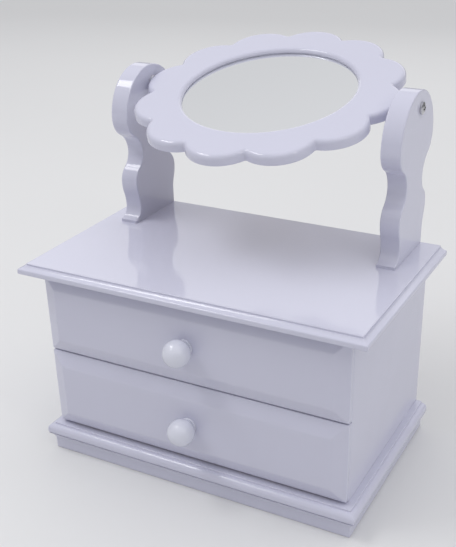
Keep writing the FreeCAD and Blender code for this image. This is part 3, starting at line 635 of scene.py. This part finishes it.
def dress(*nodes):
    """Gives CAD nodes the material of their slot."""
    slots = {part["node"]: part["material_slot"] for part in frame["record"]["subparts"]}
    for node in nodes:
        material = finish_for(slots[node])
        mesh = NODES[node].data
        mesh.materials.clear()
        mesh.materials.append(material)


# ---------------------------------------------------------------- operators
class JEWELRY_OT_top_board(bpy.types.Operator):
    """Top board: step, hollow and rounded nose round three edges"""

    bl_idname = "jewelry.top_board"
    bl_label = "Top Board"

    def execute(self, context):
        size = context.scene.jewelry_boards
        low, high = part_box("top_board")
        thickness = high.z - low.z
        step_z = thickness - size.quirk
        inset = size.top_inset
        hollow_start = (inset - size.quirk_flat, step_z)
        nose_start = (size.nose_inset, step_z - size.hollow_fall)
        nose_end = (0, nose_start[1] - size.nose_fall)
        profile = chain(
            rounded_chain(
                [
                    (inset + 2 * MM, thickness, 0),
                    (inset, thickness, size.step_round),
                    (inset, step_z, 0),
                    (*hollow_start, 0),
                ]
            ),
            bowed(hollow_start, nose_start, -size.hollow_bow, 11),
            bowed(nose_start, nose_end, size.nose_bow, 8),
            rounded_chain([(*nose_end, 0), (0, 0, size.arris), (3 * MM, 0, 0)]),
        )
        profile[:, 1] += low.z
        points, faces = moulded_shell(profile, low, high, size.corner)
        make_piece("top_board_moulded", points, faces, "carcass", "lacquer", ("top_board",))
        return {"FINISHED"}


class JEWELRY_OT_base(bpy.types.Operator):
    """Base board with a full nose, on a plinth with a hollow under the lip"""

    bl_idname = "jewelry.base"
    bl_label = "Base And Plinth"

    def execute(self, context):
        size = context.scene.jewelry_boards
        low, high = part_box("base_board")
        thickness = high.z - low.z
        step_z = thickness - size.quirk
        inset = size.base_inset
        nose_end = (0, step_z - size.base_fall)
        profile = chain(
            rounded_chain(
                [
                    (inset + 2 * MM, thickness, 0),
                    (inset, thickness, size.step_round),
                    (inset, step_z, 0),
                ]
            ),
            bowed((inset, step_z), nose_end, size.base_bow, 13),
            rounded_chain([(*nose_end, 0), (0, 0, size.lip_round), (4 * MM, 0, 0)]),
        )
        profile[:, 1] += low.z
        points, faces = moulded_shell(profile, low, high, size.corner)
        make_piece("base_board_moulded", points, faces, "carcass", "lacquer", ("base_board",))
        low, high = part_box("plinth_board")
        height = high.z - low.z
        depth = size.cove_depth
        cove_foot = (depth, height - size.cove_height)
        lean = math.atan2(depth, size.cove_height)
        bow = math.hypot(depth, size.cove_height) / 2 * math.tan(lean / 2)
        profile = chain(
            np.array([(3 * MM, height), (0, height)]),
            bowed((0, height), cove_foot, -bow, 13),
            rounded_chain([(*cove_foot, 0), (depth, 0, size.arris), (depth + 3 * MM, 0, 0)]),
        )
        profile[:, 1] += low.z
        points, faces = moulded_shell(profile, low, high, size.corner)
        make_piece("plinth_coved", points, faces, "carcass", "lacquer", ("plinth_board",))
        return {"FINISHED"}


class JEWELRY_OT_carcass(bpy.types.Operator):
    """Side panels, back, shelf and hidden fasteners, with their finishes"""

    bl_idname = "jewelry.carcass"
    bl_label = "Carcass Panels"

    def execute(self, context):
        dress("left_side_panel", "right_side_panel", "back_panel", "shelf")
        dress("post_screws", "base_screws", "top_dowels", "back_panel_pins")
        return {"FINISHED"}


class JEWELRY_OT_drawer_fronts(bpy.types.Operator):
    """Two overlay fronts with a raised field and a soft mitred slope"""

    bl_idname = "jewelry.drawer_fronts"
    bl_label = "Drawer Fronts"

    def execute(self, context):
        size = context.scene.jewelry_drawers
        for name in DRAWERS:
            node = name + "_drawer_front"
            low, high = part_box(node)
            depth = high.y - low.y
            face = depth - size.bevel_depth
            profile = rounded_chain(
                [
                    (3 * MM, 0, 0),
                    (0, 0, 0.4 * MM),
                    (0, face, size.edge),
                    (size.bevel_width, depth, size.blend),
                    (size.bevel_width + 8 * MM, depth, 0),
                ],
                steps=9,
            )
            centre = (low + high) / 2
            rings = []
            for inset, out in profile:
                ring = rounded_rectangle(
                    (high.x - low.x) / 2, (high.z - low.z) / 2, inset, size.mitre
                )
                across, up = ring[:, 0], ring[:, 1]
                rings.append(np.stack([across + centre.x, high.y - out + 0 * across, up + centre.z], -1))
            points, faces = ringed_shell(rings)
            make_piece(node + "_raised", points, faces, name + "_drawer", "lacquer", (node,), sharp=40.0)
        return {"FINISHED"}


class JEWELRY_OT_knobs(bpy.types.Operator):
    """Turned ball knobs: foot, hollow neck and ball"""

    bl_idname = "jewelry.knobs"
    bl_label = "Knobs"

    def execute(self, context):
        size = context.scene.jewelry_drawers
        for name in DRAWERS:
            node = name + "_knob"
            low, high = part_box(node)
            foot = size.foot
            edge = size.foot_height
            join = size.ball_centre - math.sqrt(size.ball ** 2 - size.neck ** 2)
            front = size.ball_centre + size.ball
            inner_foot = foot - size.foot_round
            profile = chain(
                np.array([(0.0, 0.0), (inner_foot, 0.0)]),
                rounded_chain(
                    [
                        (inner_foot, 0, 0),
                        (foot, 0, 0.2 * MM),
                        (foot, edge, size.foot_round),
                        (size.neck, edge, 0.4 * MM),
                        (size.neck, join, 0),
                    ]
                ),
                arc_points((size.neck, join), (size.ball, size.ball_centre), (0, front), 40),
            )
            points, faces = turned_shell(profile, 96)
            middle = (low.z + high.z) / 2
            turned = np.stack([points[:, 0], high.y - points[:, 2], points[:, 1] + middle], -1)
            make_piece(node + "_turned", turned, faces, name + "_drawer", "knob", (node,), sharp=50.0)
        return {"FINISHED"}


class JEWELRY_OT_drawer_boxes(bpy.types.Operator):
    """Bare walls and bottoms of the drawers, and their knob screws"""

    bl_idname = "jewelry.drawer_boxes"
    bl_label = "Drawer Boxes"

    def execute(self, context):
        for name in DRAWERS:
            for part in ("inner_front", "left_side", "right_side", "back", "bottom"):
                dress(f"{name}_drawer_{part}")
            dress(name + "_knob_screw")
        return {"FINISHED"}


class JEWELRY_OT_linings(bpy.types.Operator):
    """Felt laid on the drawer bottoms, slightly puckered"""

    bl_idname = "jewelry.linings"
    bl_label = "Felt Linings"

    def execute(self, context):
        size = context.scene.jewelry_drawers
        for name in DRAWERS:
            node = name + "_drawer_lining"
            low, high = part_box(node)
            x = np.linspace(low.x, high.x, FELT_GRID[0])[:, None]
            y = np.linspace(low.y, high.y, FELT_GRID[1])[None, :]
            shift = 0.0 if name == "lower" else UPPER_FELT_SHIFT
            wave = sum(h * np.sin(a * x + b * y + share * shift) for h, a, b, share in FELT_WAVES)
            highest = sum(ripple[0] for ripple in FELT_WAVES)
            top = low.z + size.felt + size.pucker * wave / highest
            grid = np.stack([x + 0 * y, y + 0 * x, top], -1)
            under = np.stack([x + 0 * y, y + 0 * x, low.z + FELT_LIFT + 0 * top], -1)
            rows, columns = grid.shape[:2]
            count = rows * columns
            number = np.arange(count).reshape(rows, columns)
            rim = np.concatenate([number[:, 0], number[-1, 1:], number[-2::-1, -1], number[0, -2:0:-1]])
            ahead = np.roll(rim, -1)
            faces = grid_quads(rows, columns)
            faces += [quad[::-1] for quad in grid_quads(rows, columns, first=count)]
            faces += np.stack([rim, ahead, ahead + count, rim + count], -1).tolist()
            points = np.concatenate([grid.reshape(-1, 3), under.reshape(-1, 3)])
            piece = make_piece(node + "_felt", points, faces, name + "_drawer", "felt", (node,))
        return {"FINISHED"}


def s_points(low, high, count):
    """Two equal arcs between two upright tangents, from low to high, as (depth, height)."""
    spread, rise = high[0] - low[0], high[1] - low[1]
    radius = (spread ** 2 + rise ** 2) / (4 * abs(spread))
    turn = math.asin(rise / (2 * radius)) * np.linspace(0, 1, count)
    aside = math.copysign(1.0, spread) * radius * (1 - np.cos(turn))
    first = np.stack([low[0] + aside, low[1] + radius * np.sin(turn)], -1)
    second = np.stack([high[0] - aside, high[1] - radius * np.sin(turn)], -1)[::-1]
    return chain(first, second)


def post_ring(size, foot_z, head_z):
    """Closed outline of a post about its middle: toe, pinch, bulge, waist and round head."""
    rise = head_z - foot_z
    turning = [
        (size.pinch, foot_z + size.pinch_share * rise),
        (size.bulge, foot_z + size.bulge_share * rise),
        (size.waist, foot_z + size.waist_share * rise),
        (size.head, head_z),
    ]
    pinch_z = turning[0][1]
    waves = [s_points(low, high, 12) for low, high in zip(turning, turning[1:])]
    back = chain(*waves)
    front = back[::-1] * (-1, 1)
    angle = np.linspace(0, math.pi, 61)
    crown = np.stack([size.head * np.cos(angle), head_z + size.head * np.sin(angle)], -1)
    toe_y = -size.pinch - size.flare
    toe_z = foot_z + size.toe
    flare_rise = pinch_z - toe_z
    radius = (size.flare ** 2 + flare_rise ** 2) / (2 * size.flare)
    turn = math.asin(min(1.0, flare_rise / radius)) * np.linspace(0, 1, 12)
    flare = np.stack([-size.pinch - radius * (1 - np.cos(turn)), pinch_z - radius * np.sin(turn)], -1)
    sole = np.stack([np.linspace(toe_y, size.pinch, 11), np.full(11, foot_z)], -1)
    heel = np.stack([np.full(4, size.pinch), np.linspace(foot_z, pinch_z, 4)], -1)
    ring = chain(back, crown, front, flare, np.array([(toe_y, toe_z - 0.3 * MM)]), sole, heel)
    return ring[:-1]


class JEWELRY_OT_posts(bpy.types.Operator):
    """Wavy posts with softened edges that carry the mirror"""

    bl_idname = "jewelry.posts"
    bl_label = "Mirror Posts"

    def execute(self, context):
        size = context.scene.jewelry_posts
        for name in SIDES:
            node = name + "_mirror_post"
            low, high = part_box(node)
            head_z = high.z - size.head
            ring = post_ring(size, low.z, head_z)
            profile = rounded_chain(
                [
                    (1.4 * MM, low.x, 0),
                    (0, low.x, size.edge),
                    (0, high.x, size.edge),
                    (1.4 * MM, high.x, 0),
                ],
                steps=6,
                support=0.2 * MM,
            )
            middle = high.y - size.head
            rings = []
            for inset, x in profile:
                moved = offset_ring(ring, inset)
                height = np.where(ring[:, 1] < low.z + 0.01 * MM, low.z, moved[:, 1])
                rings.append(np.stack([x + 0 * height, moved[:, 0] + middle, height], -1))
            points, faces = ringed_shell(rings)
            make_piece(node + "_shaped", points, faces, "carcass", "lacquer", (node,), sharp=35.0)
        return {"FINISHED"}


def scalloped_ring(size, lobe_points=22, notch_points=7):
    """Closed outline of equal lobes joined by small rounded notches, the first lobe on +X."""
    half = math.pi / size.lobes
    chord = size.notch * math.sin(half)
    rise = size.tip - size.notch * math.cos(half)
    radius = (chord ** 2 + rise ** 2) / (2 * rise)
    centre = size.tip - radius
    reach = radius + size.notch_round
    out = centre * math.cos(half) + math.sqrt(reach ** 2 - (centre * math.sin(half)) ** 2)
    join = math.atan2(out * math.sin(half), out * math.cos(half) - centre)
    sweep = np.linspace(-join, join, lobe_points)
    lobe = np.stack([centre + radius * np.cos(sweep), radius * np.sin(sweep)], -1)
    notch_centre = out * np.array([math.cos(half), math.sin(half)])
    start = lobe[-1] - notch_centre
    facing = math.atan2(start[1], start[0]) % (2 * math.pi)
    inward = half + math.pi
    turn = facing + (2 * (inward - facing)) * np.linspace(0, 1, notch_points)[1:-1]
    notch = notch_centre + size.notch_round * np.stack([np.cos(turn), np.sin(turn)], -1)
    unit = np.concatenate([lobe, notch])
    heading = np.arange(size.lobes) * 2 * half
    cos, sin = np.cos(heading)[:, None], np.sin(heading)[:, None]
    x = unit[:, 0] * cos - unit[:, 1] * sin
    y = unit[:, 0] * sin + unit[:, 1] * cos
    return np.stack([x.ravel(), y.ravel()], -1)


class JEWELRY_OT_mirror(bpy.types.Operator):
    """Scalloped mirror frame, with its glass, backing, clips and pivots"""

    bl_idname = "jewelry.mirror"
    bl_label = "Mirror"

    def execute(self, context):
        size = context.scene.jewelry_mirror
        half = size.thickness / 2
        outline = scalloped_ring(size)
        heading = np.arctan2(outline[:, 1], outline[:, 0])
        circle = np.stack([np.cos(heading), np.sin(heading)], -1)
        outer = rounded_chain(
            [
                (12 * MM, half, 0),
                (0, half, size.front_round),
                (0, -half, size.back_round),
                (6 * MM, -half, 0),
            ],
            steps=10,
            support=0.6 * MM,
        )
        glass = half - size.lip
        inner = rounded_chain(
            [
                (size.rebate + 3 * MM, -half, 0),
                (size.rebate, -half, 0.3 * MM),
                (size.rebate, glass, 0),
                (size.opening, glass, 0.3 * MM),
                (size.opening, half, size.opening_round),
                (size.opening + 5 * MM, half, 0),
            ],
            steps=8,
            support=0.4 * MM,
        )
        rings = []
        for inset, w in outer:
            ring = offset_ring(outline, inset)
            ring[:, 0] = np.clip(ring[:, 0], -size.spot, size.spot)
            rings.append(np.stack([ring[:, 0], ring[:, 1], w + 0 * ring[:, 0]], -1))
        for radius, w in inner:
            ring = radius * circle
            rings.append(np.stack([ring[:, 0], ring[:, 1], w + 0 * ring[:, 0]], -1))
        points, faces = ringed_shell(rings, closed=True)
        pivot = next(joint for joint in frame["joints"] if joint["type"] == "hinge")
        _, y, z = pivot["pos_m"]
        cos, sin = math.cos(size.tilt), math.sin(size.tilt)
        across, along, up = points.T
        tilted = np.stack([across, y + along * cos - up * sin, z + along * sin + up * cos], -1)
        make_piece(
            "mirror_frame_scalloped", tilted, faces, "mirror", "lacquer", ("mirror_frame",), sharp=35.0
        )
        dress("mirror_glass", "mirror_backing", "mirror_clips", "mirror_clip_screws")
        for name in SIDES:
            dress(name + "_pivot_screw", name + "_pivot_washer", name + "_pivot_insert")
        return {"FINISHED"}


def area_light(name, position, target, width, height, power):
    """A soft rectangular light aimed at a point."""
    lamp = bpy.data.lights.new(name, "AREA")
    lamp.shape = "RECTANGLE"
    lamp.size = width
    lamp.size_y = height
    lamp.energy = power
    holder = bpy.data.objects.new(name, lamp)
    holder.location = position
    aim = Vector(target) - Vector(position)
    holder.rotation_euler = aim.to_track_quat("-Z", "Y").to_euler()
    bpy.context.scene.collection.objects.link(holder)


LIGHTS = (
    # name, position, target, width, height, watts
    ("ceiling_panel", (0.75, 0.0, 2.0), (0, 0, 0.15), 2.6, 2.2, 5.0),
    ("back_panel_light", (-0.3, 1.7, 0.92), (0, 0, 0.18), 2.7, 0.6, 3.2),
    ("left_softbox", (-0.76, -0.40, 1.45), (0, -0.05, 0.2), 0.72, 0.34, 5.4),
    ("left_lamp", (-0.62, -1.02, 1.5), (0, -0.1, 0.1), 0.12, 0.12, 0.5),
    ("right_lamp", (1.2, -0.53, 1.1), (0, -0.1, 0.1), 0.16, 0.16, 0.9),
    ("right_fill", (1.2, -0.1, 0.06), (0.1, 0, 0.0), 1.0, 0.1, 0.8),
)


class JEWELRY_OT_stage(bpy.types.Operator):
    """Pale floor, soft lights and the camera"""

    bl_idname = "jewelry.stage"
    bl_label = "Stage"

    def execute(self, context):
        scene = context.scene
        size = scene.jewelry_stage
        floor_mesh = bpy.data.meshes.new("floor")
        reach = size.floor_reach
        corners = [(-reach, -reach, 0), (reach, -reach, 0), (reach, reach, 0), (-reach, reach, 0)]
        floor_mesh.from_pydata(corners, [], [(0, 1, 2, 3)])
        made = Shader("pale_floor", Roughness=0.75, Specular_IOR_Level=0.2)
        tone = made.noise(3.0, 2.0)
        shade = made.mix(tone, tinted(size.floor, 0.99), tinted(size.floor, 1.01))
        floor_mesh.materials.append(made.feed(Base_Color=shade))
        floor = bpy.data.objects.new("floor", floor_mesh)
        scene.collection.objects.link(floor)

        world = bpy.data.worlds.new("even_light")
        scene.world = world
        world.use_nodes = True
        tree = world.node_tree
        background = tree.nodes["Background"]
        background.inputs["Color"].default_value = WORLD_TINT
        facing = tree.nodes.new("ShaderNodeTexCoord")
        split = tree.nodes.new("ShaderNodeSeparateXYZ")
        climb = tree.nodes.new("ShaderNodeMapRange")
        climb.inputs["To Min"].default_value = size.horizon
        climb.inputs["To Max"].default_value = size.zenith
        tree.links.new(facing.outputs["Generated"], split.inputs["Vector"])
        tree.links.new(split.outputs["Z"], climb.inputs["Value"])
        seen = tree.nodes.new("ShaderNodeLightPath")
        choose = tree.nodes.new("ShaderNodeMix")
        choose.inputs["B"].default_value = size.backdrop
        tree.links.new(seen.outputs["Is Camera Ray"], choose.inputs["Factor"])
        tree.links.new(climb.outputs["Result"], choose.inputs["A"])
        tree.links.new(choose.outputs["Result"], background.inputs["Strength"])
        for light in LIGHTS:
            area_light(*light)

        camera_data = bpy.data.cameras.new("camera")
        camera_data.sensor_width = SENSOR_WIDTH
        camera_data.lens = size.focal
        camera_data.shift_x = size.shift_x
        camera_data.shift_y = size.shift_y
        camera_data.clip_start = NEAREST_SEEN
        camera = bpy.data.objects.new("camera", camera_data)
        a, e = size.azimuth, size.elevation
        back = Vector((math.sin(a) * math.cos(e), -math.cos(a) * math.cos(e), math.sin(e)))
        right = Vector((math.cos(a), math.sin(a), 0))
        up = back.cross(right)
        cos, sin = math.cos(size.roll), math.sin(size.roll)
        rolled_right = right * cos + up * sin
        rolled_up = up * cos - right * sin
        middle = Vector((0, 0, size.aim))
        where = middle + back * size.distance + right * size.aside - up * size.below
        turn = Matrix((rolled_right, rolled_up, back)).transposed()
        camera.matrix_world = Matrix.Translation(where) @ turn.to_4x4()
        scene.collection.objects.link(camera)
        scene.camera = camera
        scene.view_settings.view_transform = "Standard"
        return {"FINISHED"}


class JEWELRY_PT_panel(bpy.types.Panel):
    """Lists the pieces in the 3D view's sidebar"""

    bl_idname = "JEWELRY_PT_panel"
    bl_label = "Jewelry Box"
    bl_space_type = "VIEW_3D"
    bl_region_type = "UI"
    bl_category = "Jewelry Box"

    def draw(self, context):
        for operator in OPERATORS:
            self.layout.operator(operator.bl_idname)
        for group in GROUPS:
            self.layout.label(text=group)
            settings = getattr(context.scene, group)
            for name in settings.__annotations__:
                self.layout.prop(settings, name)


OPERATORS = (
    JEWELRY_OT_top_board,
    JEWELRY_OT_base,
    JEWELRY_OT_carcass,
    JEWELRY_OT_drawer_fronts,
    JEWELRY_OT_knobs,
    JEWELRY_OT_drawer_boxes,
    JEWELRY_OT_linings,
    JEWELRY_OT_posts,
    JEWELRY_OT_mirror,
    JEWELRY_OT_stage,
)
GROUPS = {
    "jewelry_boards": BoardSizes,
    "jewelry_drawers": DrawerSizes,
    "jewelry_posts": PostSizes,
    "jewelry_mirror": MirrorSizes,
    "jewelry_finishes": Finishes,
    "jewelry_stage": StageSettings,
}


def register():
    for name, group in GROUPS.items():
        bpy.utils.register_class(group)
        setattr(bpy.types.Scene, name, PointerProperty(type=group))
    for operator in OPERATORS:
        bpy.utils.register_class(operator)
    bpy.utils.register_class(JEWELRY_PT_panel)


def unregister():
    bpy.utils.unregister_class(JEWELRY_PT_panel)
    for operator in reversed(OPERATORS):
        bpy.utils.unregister_class(operator)
    for name, group in reversed(list(GROUPS.items())):
        delattr(bpy.types.Scene, name)
        bpy.utils.unregister_class(group)


def main():
    register()
    bpy.ops.jewelry.top_board()
    bpy.ops.jewelry.base()
    bpy.ops.jewelry.carcass()
    bpy.ops.jewelry.drawer_fronts()
    bpy.ops.jewelry.knobs()
    bpy.ops.jewelry.drawer_boxes()
    bpy.ops.jewelry.linings()
    bpy.ops.jewelry.posts()
    bpy.ops.jewelry.mirror()
    bpy.ops.jewelry.stage()


if __name__ == "__main__":
    main()
